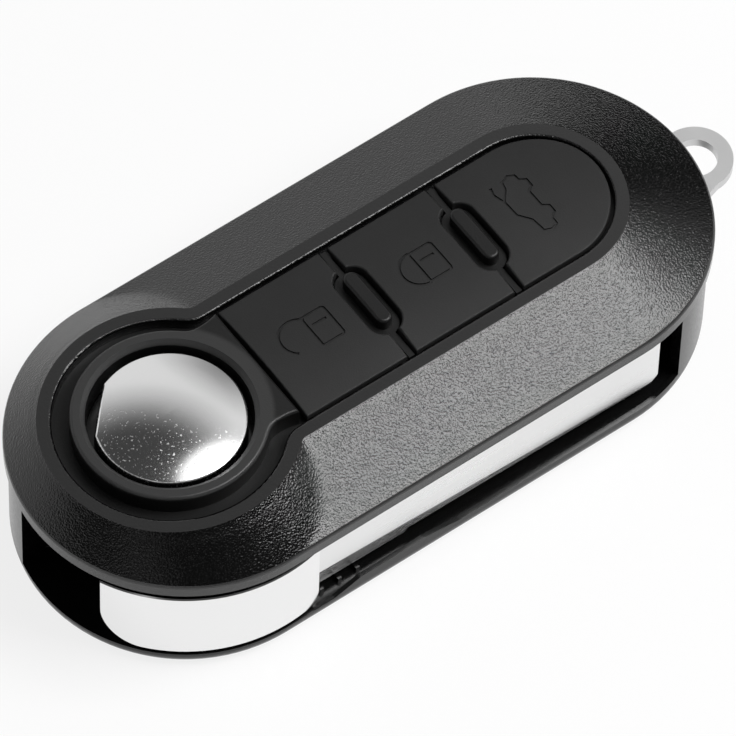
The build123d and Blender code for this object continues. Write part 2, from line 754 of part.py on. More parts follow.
def key_outline(index):
    # One key's plan, cut back round the channels and the rib pockets at its ends.
    strip = stadium(0, strip_end_x, key_half_width)
    low_x = channel_xs[index] + (key_gap if index == 0 else channel_width / 2)
    high_x = channel_xs[index + 1] - channel_width / 2 if index < 2 else cover_length
    outline = strip & pad(low_x, high_x, -cover_width, cover_width)
    for x in channel_xs[1:]:
        outline -= pill(x, 0, rib_pocket_length, rib_pocket_width)
    return outline


def key_middle_x(index):
    return channel_xs[index] + key_pitch / 2


def crown(drop):
    # A long barrel whose top gives the keys their crown, lowered by the given drop.
    radius = (key_half_width ** 2 + key_crown_drop ** 2) / (2 * key_crown_drop)
    plane = Plane(origin=(-cover_length, 0, key_crown_height - radius), z_dir=(1, 0, 0))
    return extrude(plane * Circle(radius - drop), amount=3 * cover_length)


def make_key(index):
    shape = block(key_outline(index), key_bottom, key_crown_height + cut_margin) & crown(0)
    top_edges = [edge for edge in shape.edges() if edge.bounding_box().min.Z > key_bottom + fit_gap]
    shape = fillet(top_edges, key_edge_radius)
    lines = (open_lock_lines, closed_lock_lines, open_boot_lines)[index]()
    groove = block(Pos(key_middle_x(index), 0) * lines, key_bottom + fit_gap, key_crown_height + cut_margin)
    shape -= groove - crown(symbol_depth)
    return shape + block(disc(key_middle_x(index), 0, plunger_radius), plunger_bottom, key_bottom)


def drawn(build_lines):
    # Lines drawn with a narrow round pen.
    with BuildSketch() as sketch:
        with BuildLine():
            build_lines()
        trace(line_width=symbol_width)
    return sketch.sketch


def lock_body_lines():
    # A padlock's body with a bar for its keyhole, lying along X with the shackle at -X.
    start_x = shackle_centre
    stop_x = start_x + lock_body_length
    side = lock_body_half_width

    def body():
        FilletPolyline((start_x, side), (stop_x, side), (stop_x, -side), (start_x, -side),
                       radius=lock_corner_radius)
        Line((start_x, -side), (start_x, side))

    def bar():
        Line((start_x + keyhole_margin, keyhole_offset), (stop_x - keyhole_margin, keyhole_offset))

    return drawn(body) + drawn(bar)


def closed_lock_lines():
    def shackle():
        top = (shackle_centre, shackle_radius)
        bottom = (shackle_centre, -shackle_radius)
        ThreePointArc(top, (shackle_centre - shackle_radius, 0), bottom)

    return lock_body_lines() + drawn(shackle)


def open_lock_lines():
    def shackle():
        centre_x = shackle_centre - open_shackle_shift
        CenterArc((centre_x, keyhole_offset / 2), shackle_radius, open_shackle_start_angle,
                  open_shackle_end_angle - open_shackle_start_angle)

    return lock_body_lines() + drawn(shackle)


def open_boot_lines():
    # A car seen from its side with the lid of its boot lifted, lying along Y with its wheels at +X.
    def body():
        Polyline(*car_outline, close=True)

    def lid():
        Polyline(*car_lid)

    return drawn(body) + drawn(lid)


def make_keypad_frame():
    shape = block(frame_outline(0), frame_bottom, frame_top)
    web_end_x = first_channel_x - rib_gap
    web_half_width = strip_half_width - web_side_gap
    web = pad(ring_x, web_end_x, -web_half_width, web_half_width)
    waist_radius = (web_waist_length ** 2 + web_waist ** 2) / (2 * web_waist)
    waist_y = web_half_width - web_waist + waist_radius
    for side in (-waist_y, waist_y):
        web -= disc(web_end_x - web_waist_length, side, waist_radius)
    outline = disc(ring_x, 0, ring_crest_radius) + web
    outline &= pad(-cover_length, web_end_x, -cover_width, cover_width)
    junctions = [point for point in outline.vertices()
                 if abs(reach((ring_x, 0), (point.X, point.Y)) - ring_crest_radius) < fit_gap]
    ring = block(fillet(junctions, web_junction_radius), frame_top, ring_top_height)
    ring = fillet(edges_at_height(ring, ring_top_height), ring_edge_radius)
    ring -= block(disc(ring_x, 0, ring_hole_radius), frame_bottom, ring_top_height + cut_margin)
    hole_edge = [edge for edge in edges_at_height(ring, ring_top_height)
                 if reach((ring_x, 0), tuple(edge @ 0.5)) < ring_hole_radius + fit_gap]
    shape += chamfer(hole_edge, ring_hole_edge)
    half_bar = channel_width / 2 - rib_gap
    for x in channel_xs[1:]:
        bar = pad(x - half_bar, x + half_bar, -key_half_width, key_half_width)
        bar += pill(x, 0, rib_pocket_length - 2 * rib_gap, rib_pocket_width - 2 * rib_gap)
        shape += block(bar, frame_top, channel_floor_height)
        rib = block(pill(x, 0, rib_length, rib_width), frame_top, rib_top_height)
        shape += fillet(edges_at_height(rib, rib_top_height), rib_edge_radius)
    shape -= block(disc(ring_x, 0, ring_hole_radius), frame_bottom - cut_margin, frame_top + cut_margin)
    for index in range(3):
        hole = disc(key_middle_x(index), 0, plunger_radius + plunger_hole_clearance)
        shape -= block(hole, frame_bottom - cut_margin, frame_top + cut_margin)
    return shape


def make_circuit_board():
    board = stadium(0, far_x, tongue_inner_radius - board_gap)
    board &= pad(board_start_x, cover_length, board_side_y, cover_width)
    for x, y in screw_points:
        board -= disc(x, y, cover_boss_radius + latch_clearance)
    for x, y in post_points:
        board -= disc(x, y, post_pin_radius + fit_gap)
    return block(board, board_bottom, board_top)


def make_switch(index):
    x = key_middle_x(index)
    outline = Pos(x, 0) * RectangleRounded(switch_size, switch_size, switch_size / 10)
    bore_bottom = plunger_bottom - stem_length - key_travel - fit_gap
    bore = block(disc(x, 0, stem_radius + fit_gap), bore_bottom, switch_top + cut_margin)
    return block(outline, board_top, switch_top) - bore


def make_switch_stem(index):
    return block(disc(key_middle_x(index), 0, stem_radius), plunger_bottom - stem_length, plunger_bottom)


def make_controller_chip():
    x = channel_xs[1]
    shape = block(Pos(x, parts_row_y) * Rectangle(chip_length, chip_width), board_top + chip_height / 10,
                  board_top + chip_height)
    for i in range(chip_leg_count):
        leg_x = x + (i - (chip_leg_count - 1) / 2) * chip_leg_pitch
        leg = Pos(leg_x, parts_row_y) * Rectangle(chip_leg_width, chip_width + 2 * chip_leg_reach)
        shape += block(leg, board_top, board_top + chip_height / 4)
    return shape


def make_crystal():
    x = channel_xs[2]
    base = Pos(x, parts_row_y) * RectangleRounded(crystal_length, crystal_width, crystal_width / 3)
    return block(base, board_top, board_top + crystal_height)


def make_aerial_coil():
    # A wound bobbin with a square block at each end.
    half = aerial_length / 2
    side = aerial_width / 2
    base = pad(aerial_x - half, aerial_x + half, aerial_y - side, aerial_y + side)
    shape = block(base, board_top, board_top + aerial_height)
    window = pad(aerial_x - aerial_winding_length / 2, aerial_x + aerial_winding_length / 2, 0, cover_width)
    shape -= block(window, board_top, board_top + aerial_height)
    start = Plane(origin=(aerial_x - half, aerial_y, board_top + aerial_height / 2), z_dir=(1, 0, 0))
    return shape + extrude(start * Circle(aerial_height / 2 - fit_gap), amount=aerial_length)


def make_transponder():
    base = Pos(transponder_x, transponder_y) * Rectangle(transponder_length, transponder_width)
    shape = block(base, back_thickness, back_thickness + transponder_height)
    long_edges = [edge for edge in edges_at_height(shape, back_thickness + transponder_height)
                  if edge.length > transponder_width + fit_gap]
    return chamfer(long_edges, transponder_height / 4)


def make_coin_cell():
    shape = block(disc(cell_x, cell_y, cell_radius), cell_bottom, cell_top)
    return fillet(edges_at_height(shape, cell_bottom), cell_height / 6)


def bent_strip(points, radius):
    # A bent metal strip of even thickness, drawn from the side and as wide as the contacts.
    with BuildSketch(Plane.XZ) as side:
        with BuildLine():
            FilletPolyline(*points, radius=radius)
        trace(line_width=strip_thickness)
    return Pos(0, cell_y + strip_width / 2, 0) * extrude(side.sketch, amount=strip_width)


def make_negative_contact():
    low = back_thickness + strip_thickness / 2
    high = cell_bottom - strip_thickness / 2
    points = [(cell_x - cell_radius / 2, low), (cell_x - cell_radius / 4, high), (cell_x, high),
              (cell_x + cell_radius / 2, low), (negative_leg_x, low), (negative_leg_x, board_bottom)]
    return bent_strip(points, strip_thickness)


def make_positive_contact():
    low = cell_top + strip_thickness / 2
    points = [(cell_x, low), (positive_leg_x, low), (positive_leg_x, board_bottom)]
    return bent_strip(points, strip_thickness)


def make_key_ring_loop():
    tail = pad(loop_tail_end_x, loop_tail_start_x, -loop_tail_half_width, loop_tail_half_width)
    neck_points = [(loop_tail_start_x, -loop_tail_half_width), (loop_x, -loop_radius), (loop_x, loop_radius),
                   (loop_tail_start_x, loop_tail_half_width)]
    neck = Polygon(*neck_points, align=None)
    outline = tail + neck + disc(loop_x, 0, loop_radius)
    outline -= disc(loop_x, 0, loop_hole_radius)
    outline -= disc(anchor_x, 0, anchor_radius + fit_gap)
    return block(outline, loop_bottom, loop_top)


def make_case_screws():
    group = []
    for x, y in screw_points:
        head = block(disc(x, y, screw_head_radius), 0, screw_head_height)
        recess = Rectangle(screw_head_radius, screw_slot_width)
        recess += Rectangle(screw_slot_width, screw_head_radius)
        head -= block(Pos(x, y) * recess, 0, screw_slot_depth)
        group.append(head + block(disc(x, y, screw_radius), screw_head_height, screw_end_height))
    return Compound(children=group)


def make_plate_screws():
    group = []
    for x, y in plate_screw_points:
        low = mechanism_bottom - plate_screw_head_height
        head = block(disc(x, y, plate_screw_head_radius), low, mechanism_bottom)
        shank_top = mechanism_bottom + plate_screw_length
        group.append(head + block(disc(x, y, plate_screw_radius), mechanism_bottom, shank_top))
    return Compound(children=group)


key_names = ["unlock", "lock", "boot"]
nodes = {
    "upper_cover": make_upper_cover(),
    "lower_shell": make_lower_shell(),
    "keypad_frame": make_keypad_frame(),
    "mechanism_plate": make_mechanism_plate(),
    "plate_screws": make_plate_screws(),
    "case_screws": make_case_screws(),
    "release_button": make_release_button(),
    "release_spring": make_release_spring(),
    "blade_head": make_blade_head(),
    "blade": make_blade(),
    "blade_roll_pin": make_roll_pin(),
    "pivot_pin": make_pivot_pin(),
    "pivot_washer": make_pivot_washer(),
    "flip_spring": make_flip_spring(),
    "spring_cap": make_spring_cap(),
    "circuit_board": make_circuit_board(),
    "controller_chip": make_controller_chip(),
    "crystal": make_crystal(),
    "aerial_coil": make_aerial_coil(),
    "transponder_chip": make_transponder(),
    "coin_cell": make_coin_cell(),
    "negative_contact": make_negative_contact(),
    "positive_contact": make_positive_contact(),
    "key_ring_loop": make_key_ring_loop(),
}
for index, name in enumerate(key_names):
    nodes[name + "_key"] = make_key(index)
    nodes[name + "_switch"] = make_switch(index)
    nodes[name + "_switch_stem"] = make_switch_stem(index)

os.makedirs("parts", exist_ok=True)
for name, solid in nodes.items():
    export_step(solid, "parts/" + name + ".step")
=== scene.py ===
# %% [markdown]
# # A folding car key with a remote control
#
# The key's case is a flat box with round ends, about as long as a finger. A polished button sits in a
# raised ring at the hinge end, and three soft keys follow it in a strip. The blade lies folded in a slot
# along one side. The CAD model gives every shape its place, and it is loaded first, because nothing here
# moves or resizes it. This script gives the pieces their finish, the light and the camera.

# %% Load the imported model
import math

import bpy
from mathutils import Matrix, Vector


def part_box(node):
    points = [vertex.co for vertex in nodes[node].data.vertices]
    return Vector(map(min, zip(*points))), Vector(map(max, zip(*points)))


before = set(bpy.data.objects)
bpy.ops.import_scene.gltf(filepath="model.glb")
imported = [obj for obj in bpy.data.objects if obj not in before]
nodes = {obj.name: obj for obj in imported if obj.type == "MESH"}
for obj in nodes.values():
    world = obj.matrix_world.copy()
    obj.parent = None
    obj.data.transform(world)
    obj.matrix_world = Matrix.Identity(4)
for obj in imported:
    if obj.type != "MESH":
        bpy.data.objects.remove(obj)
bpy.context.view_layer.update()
bpy.ops.object.select_all(action="DESELECT")

# %% [markdown]
# ## Helpers for materials
#
# A Principled shader does for plastic and metal alike. What makes one black plastic differ from the next
# is a web of small nodes, and such a web is easier to read as a few sentences than as a long list of
# links. So each helper adds one node, feeds it and hands back what it puts out. Patterns read Object
# coordinates, which are metres on the key itself, so a grain of 0.2 mm stays 0.2 mm on every piece.

# %% Colours and nodes


def grey(level):
    # The linear colour of a grey that is written from 0 to 255.
    value = level / 255
    linear = value / 12.92 if value <= 0.04045 else ((value + 0.055) / 1.055) ** 2.4
    return (linear, linear, linear, 1.0)


def new_material(name, **numbers):
    # The numbers go on the shader's own sockets, whose names are written here with underscores.
    material = bpy.data.materials.new(name)
    material.use_nodes = True
    shader = material.node_tree.nodes["Principled BSDF"]
    for socket, value in numbers.items():
        shader.inputs[socket.replace("_", " ")].default_value = value
    return material, shader


def add_node(tree, kind, **settings):
    node = tree.nodes.new(kind)
    for name, value in settings.items():
        setattr(node, name, value)
    return node


def feed(tree, socket, value):
    # A socket takes either what another node puts out, or a plain number or colour.
    if isinstance(value, bpy.types.NodeSocket):
        tree.links.new(value, socket)
    else:
        socket.default_value = value


print("grey 128 is", round(grey(128)[0], 3), "in linear light")

# %% Sums, ramps and mixes


def combine(tree, operation, first, second):
    node = add_node(tree, "ShaderNodeMath", operation=operation)
    feed(tree, node.inputs[0], first)
    feed(tree, node.inputs[1], second)
    return node.outputs[0]


def combine_vectors(tree, operation, first, second):
    node = add_node(tree, "ShaderNodeVectorMath", operation=operation)
    feed(tree, node.inputs[0], first)
    feed(tree, node.inputs["Scale"] if operation == "SCALE" else node.inputs[1], second)
    return node.outputs["Value"] if operation in ("DOT_PRODUCT", "DISTANCE") else node.outputs["Vector"]


def ramp(tree, value, low, high, start=0.0, stop=1.0, shape="LINEAR"):
    # What goes from low to high comes out from start to stop.
    node = add_node(tree, "ShaderNodeMapRange", interpolation_type=shape)
    numbers = {"Value": value, "From Min": low, "From Max": high, "To Min": start, "To Max": stop}
    for name, number in numbers.items():
        feed(tree, node.inputs[name], number)
    return node.outputs["Result"]


def mix_colors(tree, share, under, over):
    node = add_node(tree, "ShaderNodeMix", data_type="RGBA")
    feed(tree, node.inputs["Factor"], share)
    feed(tree, node.inputs[6], under)
    feed(tree, node.inputs[7], over)
    return node.outputs[2]


print("mixes ready")

# %% Places, noises and bumps


def object_place(tree):
    return add_node(tree, "ShaderNodeTexCoord").outputs["Object"]


def height_of(tree, place):
    split = add_node(tree, "ShaderNodeSeparateXYZ")
    tree.links.new(place, split.inputs["Vector"])
    return split.outputs["Z"]


def add_noise(tree, place, scale, detail):
    node = add_node(tree, "ShaderNodeTexNoise")
    for name, value in {"Vector": place, "Scale": scale, "Detail": detail}.items():
        feed(tree, node.inputs[name], value)
    return node.outputs["Fac"]


def add_bump(tree, height, strength, distance, invert=False):
    node = add_node(tree, "ShaderNodeBump", invert=invert)
    for name, value in {"Height": height, "Strength": strength, "Distance": distance}.items():
        feed(tree, node.inputs[name], value)
    return node.outputs["Normal"]


print("patterns ready")

# %% [markdown]
# ## Grain
#
# The case is moulded in a spark-eroded tool, so its skin is a fine even grain that sparkles where it
# mirrors the lamp. It could be modelled in the mesh, but bumps of a fifth of a millimetre would take
# millions of faces, so a noise bends the light instead. Several plastics share that effect, so it is one
# node group with its own numbers in each of them. It puts out the normal, the grain, slow clouds that
# shift the colour, and two masks for what lies below and above the grained stretch.

# %% Grain node group
grain_detail = 1.0
cloud_scale = 90.0
cloud_detail = 3.0
smooth_share = 0.12


def make_grain_group():
    tree = bpy.data.node_groups.new("moulded_grain", "ShaderNodeTree")
    for name in ("Scale", "Strength", "Depth", "Start", "End"):
        tree.interface.new_socket(name, in_out="INPUT", socket_type="NodeSocketFloat")
    tree.interface.new_socket("Normal", in_out="OUTPUT", socket_type="NodeSocketVector")
    for name in ("Grain", "Cloud", "Below", "Above"):
        tree.interface.new_socket(name, in_out="OUTPUT", socket_type="NodeSocketFloat")
    given = add_node(tree, "NodeGroupInput").outputs
    place = object_place(tree)
    height = height_of(tree, place)
    grain = add_noise(tree, place, given["Scale"], grain_detail)
    # The grain lies between two heights, and leaves what is below and above them nearly smooth.
    below = combine(tree, "LESS_THAN", height, given["Start"])
    above = combine(tree, "GREATER_THAN", height, given["End"])
    kept = ramp(tree, combine(tree, "MAXIMUM", below, above), 0.0, 1.0, 1.0, smooth_share)
    relief = combine(tree, "MULTIPLY", grain, kept)
    made = {
        "Normal": add_bump(tree, relief, given["Strength"], given["Depth"]),
        "Grain": grain,
        "Cloud": add_noise(tree, place, cloud_scale, cloud_detail),
        "Below": below,
        "Above": above,
    }
    outlet = add_node(tree, "NodeGroupOutput")
    for name, value in made.items():
        tree.links.new(value, outlet.inputs[name])
    return tree


grain_group = make_grain_group()
print("group:", grain_group.name, "with", len(grain_group.nodes), "nodes")

# %% Grain in a material


def add_grain(material, shader, scale, strength, depth, gloss, tints, heights=(-1.0, 1.0)):
    # The gloss is the roughness in the grain's hollows and on its tops. The tints are the clouds' colours.
    tree = material.node_tree
    group = add_node(tree, "ShaderNodeGroup", node_tree=grain_group)
    numbers = {"Scale": scale, "Strength": strength, "Depth": depth, "Start": heights[0], "End": heights[1]}
    for name, value in numbers.items():
        group.inputs[name].default_value = value
    tint = mix_colors(tree, group.outputs["Cloud"], *tints)
    tree.links.new(group.outputs["Normal"], shader.inputs["Normal"])
    tree.links.new(ramp(tree, group.outputs["Grain"], 0.0, 1.0, *gloss), shader.inputs["Roughness"])
    tree.links.new(tint, shader.inputs["Base Color"])
    return group.outputs, tint


print("grain can be added")

# %% [markdown]
# ## The upper cover
#
# The cover has three skins in one moulding: a grained slope, a smooth lip round the opening and a smooth
# rim along its lower edge. The lip is set a little paler than the slope, and the rim's paler grey is a
# painted reflection of the white floor that its upright face mirrors. Faces could be given three materials,
# but the CAD node keeps its one slot, so the two height masks of the grain pick the lip and the rim.
#
# On the real key the ring's cone runs into the long slopes in a soft crease. The solid has a small round
# there, about 0.6 mm wide, and its mesh stays as it is. So a Bevel node turns the normals beside it, which
# spreads the crease. It acts only on the slope itself, because the lip and the rim need their crisp edges.

# %% Cover plastic
lip_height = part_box("upper_cover")[1][2]
slope_height = 0.0037
rim_top = lip_height - slope_height
lip_margin = 0.00001
lip_grey = grey(42)
# painted reflection: the rim's paler grey stands in for the white floor mirrored by its upright face
rim_painted_reflection_grey = grey(52)

case_plastic, shader = new_material("case_plastic", Specular_IOR_Level=0.4)
skin, tint = add_grain(case_plastic, shader, scale=5600.0, strength=1.0, depth=0.000052, gloss=(0.08, 0.22),
                       tints=(grey(4), grey(9)), heights=(rim_top, lip_height - lip_margin))
tree = case_plastic.node_tree
with_lip = mix_colors(tree, skin["Above"], tint, lip_grey)
# the rim's painted reflection of the floor is mixed in below the slope
with_rim_painted_reflection = mix_colors(tree, skin["Below"], with_lip, rim_painted_reflection_grey)
tree.links.new(with_rim_painted_reflection, shader.inputs["Base Color"])
print("cover: lip at", round(lip_height * 1000, 2), "mm, rim up to", round(rim_top * 1000, 2), "mm")

# %% Soft crease in the cover
crease_radius = 0.002
crease_samples = 6
rim_clearance = 0.0003
lip_clearance = 0.0002
crease_fade = 0.0008

height = height_of(tree, object_place(tree))
over_rim = ramp(tree, height, rim_top + rim_clearance, rim_top + rim_clearance + crease_fade,
                shape="SMOOTHSTEP")
under_lip = ramp(tree, height, lip_height - lip_clearance, lip_height - lip_clearance - crease_fade,
                 shape="SMOOTHSTEP")
on_slope = combine(tree, "MULTIPLY", over_rim, under_lip)
soft = add_node(tree, "ShaderNodeBevel", samples=crease_samples)
soft.inputs["Radius"].default_value = crease_radius
plain = add_node(tree, "ShaderNodeNewGeometry")
turn = combine_vectors(tree, "SUBTRACT", soft.outputs["Normal"], plain.outputs["Normal"])
turned = combine_vectors(tree, "ADD", skin["Normal"], combine_vectors(tree, "SCALE", turn, on_slope))
evened = add_node(tree, "ShaderNodeVectorMath", operation="NORMALIZE")
tree.links.new(turned, evened.inputs[0])
tree.links.new(evened.outputs["Vector"], shader.inputs["Normal"])
print("crease softened over", crease_radius * 1000, "mm")

# %% [markdown]
# ## The shell, the ring and the keys
#
# The lower shell is a smooth black with hardly any grain. The frame round the button is a fine matt
# black whose crest carries painted light, a paler grey for its lit top above the shaded valley, which a
# ball of the crest's radius and a height pick out together.
# The three keys are silicone rubber: soft, with a wide dull gleam. Each is one shader with its own numbers
# in the grain group, because a flat colour would look like paint.

# %% Shell, rubber and inner plastics
shell_plastic, shader = new_material("shell_plastic", Specular_IOR_Level=0.28)
add_grain(shell_plastic, shader, scale=3600.0, strength=0.3, depth=0.00001, gloss=(0.16, 0.28),
          tints=(grey(10), grey(14)))
key_rubber, shader = new_material("key_rubber", Specular_IOR_Level=0.25)
add_grain(key_rubber, shader, scale=6500.0, strength=0.5, depth=0.00002, gloss=(0.5, 0.64),
          tints=(grey(20), grey(40)))
inner_plastic, shader = new_material("inner_plastic", Specular_IOR_Level=0.3)
add_grain(inner_plastic, shader, scale=3000.0, strength=0.3, depth=0.00001, gloss=(0.45, 0.55),
          tints=(grey(14), grey(18)))
print("made:", shell_plastic.name, key_rubber.name, inner_plastic.name)

# %% Frame plastic with painted light on its crest
ring_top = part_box("keypad_frame")[1][2]
ring_middle = (-0.0017, 0, ring_top)
crest_radius = 0.009
crest_fade = 0.0006
crest_start = ring_top - 0.0006
crest_full = ring_top - 0.0002
# painted light: the crest's paler grey stands in for the light on the ring's top
crest_painted_light_grey = grey(48)

frame_plastic, shader = new_material("frame_plastic", Specular_IOR_Level=0.3)
_, tint = add_grain(frame_plastic, shader, scale=5200.0, strength=0.5, depth=0.00002, gloss=(0.36, 0.46),
                    tints=(grey(8), grey(14)))
tree = frame_plastic.node_tree
place = object_place(tree)
from_middle = combine_vectors(tree, "DISTANCE", place, ring_middle)
near = ramp(tree, from_middle, crest_radius + crest_fade, crest_radius, shape="SMOOTHSTEP")
high = ramp(tree, height_of(tree, place), crest_start, crest_full, shape="SMOOTHSTEP")
# the crest's painted light is mixed into the frame's colour here
crest_painted_light = mix_colors(tree, combine(tree, "MULTIPLY", near, high), tint, crest_painted_light_grey)
tree.links.new(crest_painted_light, shader.inputs["Base Color"])
print("ring's crest at", round(ring_top * 1000, 2), "mm")

# %% [markdown]
# ## Metals
#
# The blade's head and the button are plated, so they are nearly mirrors. The blade is rolled steel with
# a faint grain along its length, and the loop is stamped from plate. Fine lines could come from an
# anisotropic shader, but a noise that is drawn out along one axis gives the same look from every side.
# It moves the gloss, and on the coarser metals it also bends the light.

# %% Streaks
streak_detail = 3.0
streak_depth = 0.00001


def add_streaks(material, shader, scale, stretch, gloss, strength=0.0):
    tree = material.node_tree
    mapping = add_node(tree, "ShaderNodeMapping")
    mapping.inputs["Scale"].default_value = stretch
    tree.links.new(object_place(tree), mapping.inputs["Vector"])
    lines = add_noise(tree, mapping.outputs["Vector"], scale, streak_detail)
    tree.links.new(ramp(tree, lines, 0.0, 1.0, *gloss), shader.inputs["Roughness"])
    if strength:
        tree.links.new(add_bump(tree, lines, strength, streak_depth), shader.inputs["Normal"])


print("streaks can be added")

# %% Head, blade and loop
head_chrome, shader = new_material("head_chrome", Base_Color=grey(238), Metallic=1.0)
add_streaks(head_chrome, shader, scale=600.0, stretch=(1, 1, 1), gloss=(0.08, 0.16))
blade_steel, shader = new_material("blade_steel", Base_Color=grey(232), Metallic=1.0)
add_streaks(blade_steel, shader, scale=900.0, stretch=(0.05, 1, 1), gloss=(0.2, 0.34), strength=0.1)
loop_steel, shader = new_material("loop_steel", Base_Color=grey(205), Metallic=1.0)
add_streaks(loop_steel, shader, scale=900.0, stretch=(1, 0.2, 1), gloss=(0.28, 0.4), strength=0.1)
print("made:", head_chrome.name, blade_steel.name, loop_steel.name)

# %% [markdown]
# ## The release button
#
# The button's dome is plated down to its flange, and the skirt below is left black. Thumbs have pitted
# the plating on the side that is pressed: the pits are dull, so they catch light from all round and show
# as fine pale specks in the dark part of the mirror. A noise cut off near its top gives the pits. They
# are kept to the worn side of the dome, which lies away from the smooth one, and to the plated height.

# %% Button plating
button_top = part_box("release_button")[1][2]
plating_depth = 0.00175
smooth_side = (0.75, 0.66, 0)
worn_width = 0.004
pit_scale = 4200.0
pit_detail = 2.0
pit_edge = 0.62
pit_floor = 0.74
pit_strength = 0.4
pit_depth = 0.00001
plate_gloss = 0.14
pit_gloss = 0.6
plate_grey = grey(214)
pit_grey = grey(190)
skirt_grey = grey(14)

button_chrome, shader = new_material("button_chrome")
tree = button_chrome.node_tree
place = object_place(tree)
plated = combine(tree, "GREATER_THAN", height_of(tree, place), button_top - plating_depth)
across = combine_vectors(tree, "DOT_PRODUCT", place, smooth_side)
worn = ramp(tree, across, 0.0, -worn_width, shape="SMOOTHSTEP")
pits = ramp(tree, add_noise(tree, place, pit_scale, pit_detail), pit_edge, pit_floor)
pitted = combine(tree, "MULTIPLY", combine(tree, "MULTIPLY", worn, plated), pits)
dull = mix_colors(tree, pitted, plate_grey, pit_grey)
tree.links.new(mix_colors(tree, plated, skirt_grey, dull), shader.inputs["Base Color"])
tree.links.new(ramp(tree, pitted, 0.0, 1.0, plate_gloss, pit_gloss), shader.inputs["Roughness"])
tree.links.new(plated, shader.inputs["Metallic"])
tree.links.new(add_bump(tree, pitted, pit_strength, pit_depth, invert=True), shader.inputs["Normal"])
print("button plated above", round((button_top - plating_depth) * 1000, 2), "mm")

# %% [markdown]
# ## What the case holds
#
# The works are seen only through the slot, or when the key is taken apart: turned steel, spring wire,
# tin cans, brass contacts, a green board and its chips, and the copper winding. The winding is a solid
# bobbin in the model, so a noise that is fine along it and long across stands for its turns.

# %% Inner metals
screw_steel, shader = new_material("screw_steel", Base_Color=grey(170), Metallic=1.0)
add_streaks(screw_steel, shader, scale=1500.0, stretch=(1, 1, 0.2), gloss=(0.3, 0.42))
spring_steel, shader = new_material("spring_steel", Base_Color=grey(160), Metallic=1.0)
add_streaks(spring_steel, shader, scale=1500.0, stretch=(1, 1, 1), gloss=(0.3, 0.42))
can_steel, shader = new_material("can_steel", Base_Color=grey(200), Metallic=1.0)
add_streaks(can_steel, shader, scale=1200.0, stretch=(0.2, 1, 1), gloss=(0.25, 0.36))
contact_brass, shader = new_material("contact_brass", Base_Color=(0.62, 0.42, 0.14, 1.0), Metallic=1.0)
add_streaks(contact_brass, shader, scale=1200.0, stretch=(0.2, 1, 1), gloss=(0.25, 0.36))
coil_wire, shader = new_material("coil_wire", Base_Color=(0.25, 0.07, 0.02, 1.0), Metallic=0.8)
add_streaks(coil_wire, shader, scale=2500.0, stretch=(3, 0.1, 0.1), gloss=(0.3, 0.45), strength=0.6)
print("made:", screw_steel.name, spring_steel.name, can_steel.name, contact_brass.name, coil_wire.name)

# %% Board, chips and stems
board_laminate, shader = new_material("board_laminate")
add_grain(board_laminate, shader, scale=3000.0, strength=0.2, depth=0.00001, gloss=(0.3, 0.42),
          tints=((0.008, 0.075, 0.024, 1.0), (0.012, 0.105, 0.035, 1.0)))
chip_plastic, shader = new_material("chip_plastic")
add_grain(chip_plastic, shader, scale=5000.0, strength=0.4, depth=0.00001, gloss=(0.5, 0.6),
          tints=(grey(24), grey(28)))
stem_plastic, shader = new_material("stem_plastic")
add_grain(stem_plastic, shader, scale=3000.0, strength=0.2, depth=0.00001, gloss=(0.4, 0.5),
          tints=(grey(180), grey(195)))
print("made:", board_laminate.name, chip_plastic.name, stem_plastic.name)

# %% [markdown]
# ## Dress the pieces
#
# Every CAD node keeps its own mesh and takes its finish in the material slots that it came with. A table
# of finish and pieces is the plainest way to see that none is left bare.

# %% Finish for each CAD node
finishes = {
    case_plastic: ["upper_cover"],
    shell_plastic: ["lower_shell"],
    frame_plastic: ["keypad_frame"],
    key_rubber: ["unlock_key", "lock_key", "boot_key"],
    inner_plastic: ["mechanism_plate", "pivot_washer", "spring_cap"],
    head_chrome: ["blade_head"],
    button_chrome: ["release_button"],
    blade_steel: ["blade"],
    loop_steel: ["key_ring_loop"],
    screw_steel: ["plate_screws", "case_screws", "pivot_pin"],
    spring_steel: ["release_spring", "flip_spring", "blade_roll_pin"],
    can_steel: ["coin_cell", "crystal", "unlock_switch", "lock_switch", "boot_switch"],
    contact_brass: ["negative_contact", "positive_contact"],
    board_laminate: ["circuit_board"],
    chip_plastic: ["controller_chip", "transponder_chip"],
    stem_plastic: ["unlock_switch_stem", "lock_switch_stem", "boot_switch_stem"],
    coil_wire: ["aerial_coil"],
}
for material, names in finishes.items():
    for name in names:
        for slot in nodes[name].material_slots:
            slot.material = material
print("dressed:", sum(len(names) for names in finishes.values()), "of", len(nodes))

# %% [markdown]
# ## Floor and surroundings
#
# The key lies on plain white. More light would make any floor white, but it would bleach the key too. So
# the floor and the world are white only to rays from the camera, a mirror or glass, which a Light Path
# node tells apart, and they give the key no more light than a pale room does. The floor keeps a share of
# its own shading, and the key's shadow with it.

# %% White for the eye and for mirrors
floor_share = 0.82
room_light = 0.2


def seen_or_mirrored(tree, share):
    # The given share for rays from the camera, a mirror or glass, and none for light that spreads.
    path = add_node(tree, "ShaderNodeLightPath").outputs
    seen = combine(tree, "MAXIMUM", path["Is Camera Ray"], path["Is Glossy Ray"])
    seen = combine(tree, "MAXIMUM", seen, path["Is Transmission Ray"])
    return combine(tree, "MULTIPLY", seen, share)


def mix_shaders(tree, share, hidden, shown, outlet):
    mix = add_node(tree, "ShaderNodeMixShader")
    tree.links.new(share, mix.inputs["Fac"])
    tree.links.new(hidden, mix.inputs[1])
    tree.links.new(shown, mix.inputs[2])
    tree.links.new(mix.outputs["Shader"], outlet.inputs["Surface"])


print("floor shows", floor_share, "plain white, room light", room_light)

# %% Floor
floor_size = 1.0
floor_middle = (0.02, 0, 0)

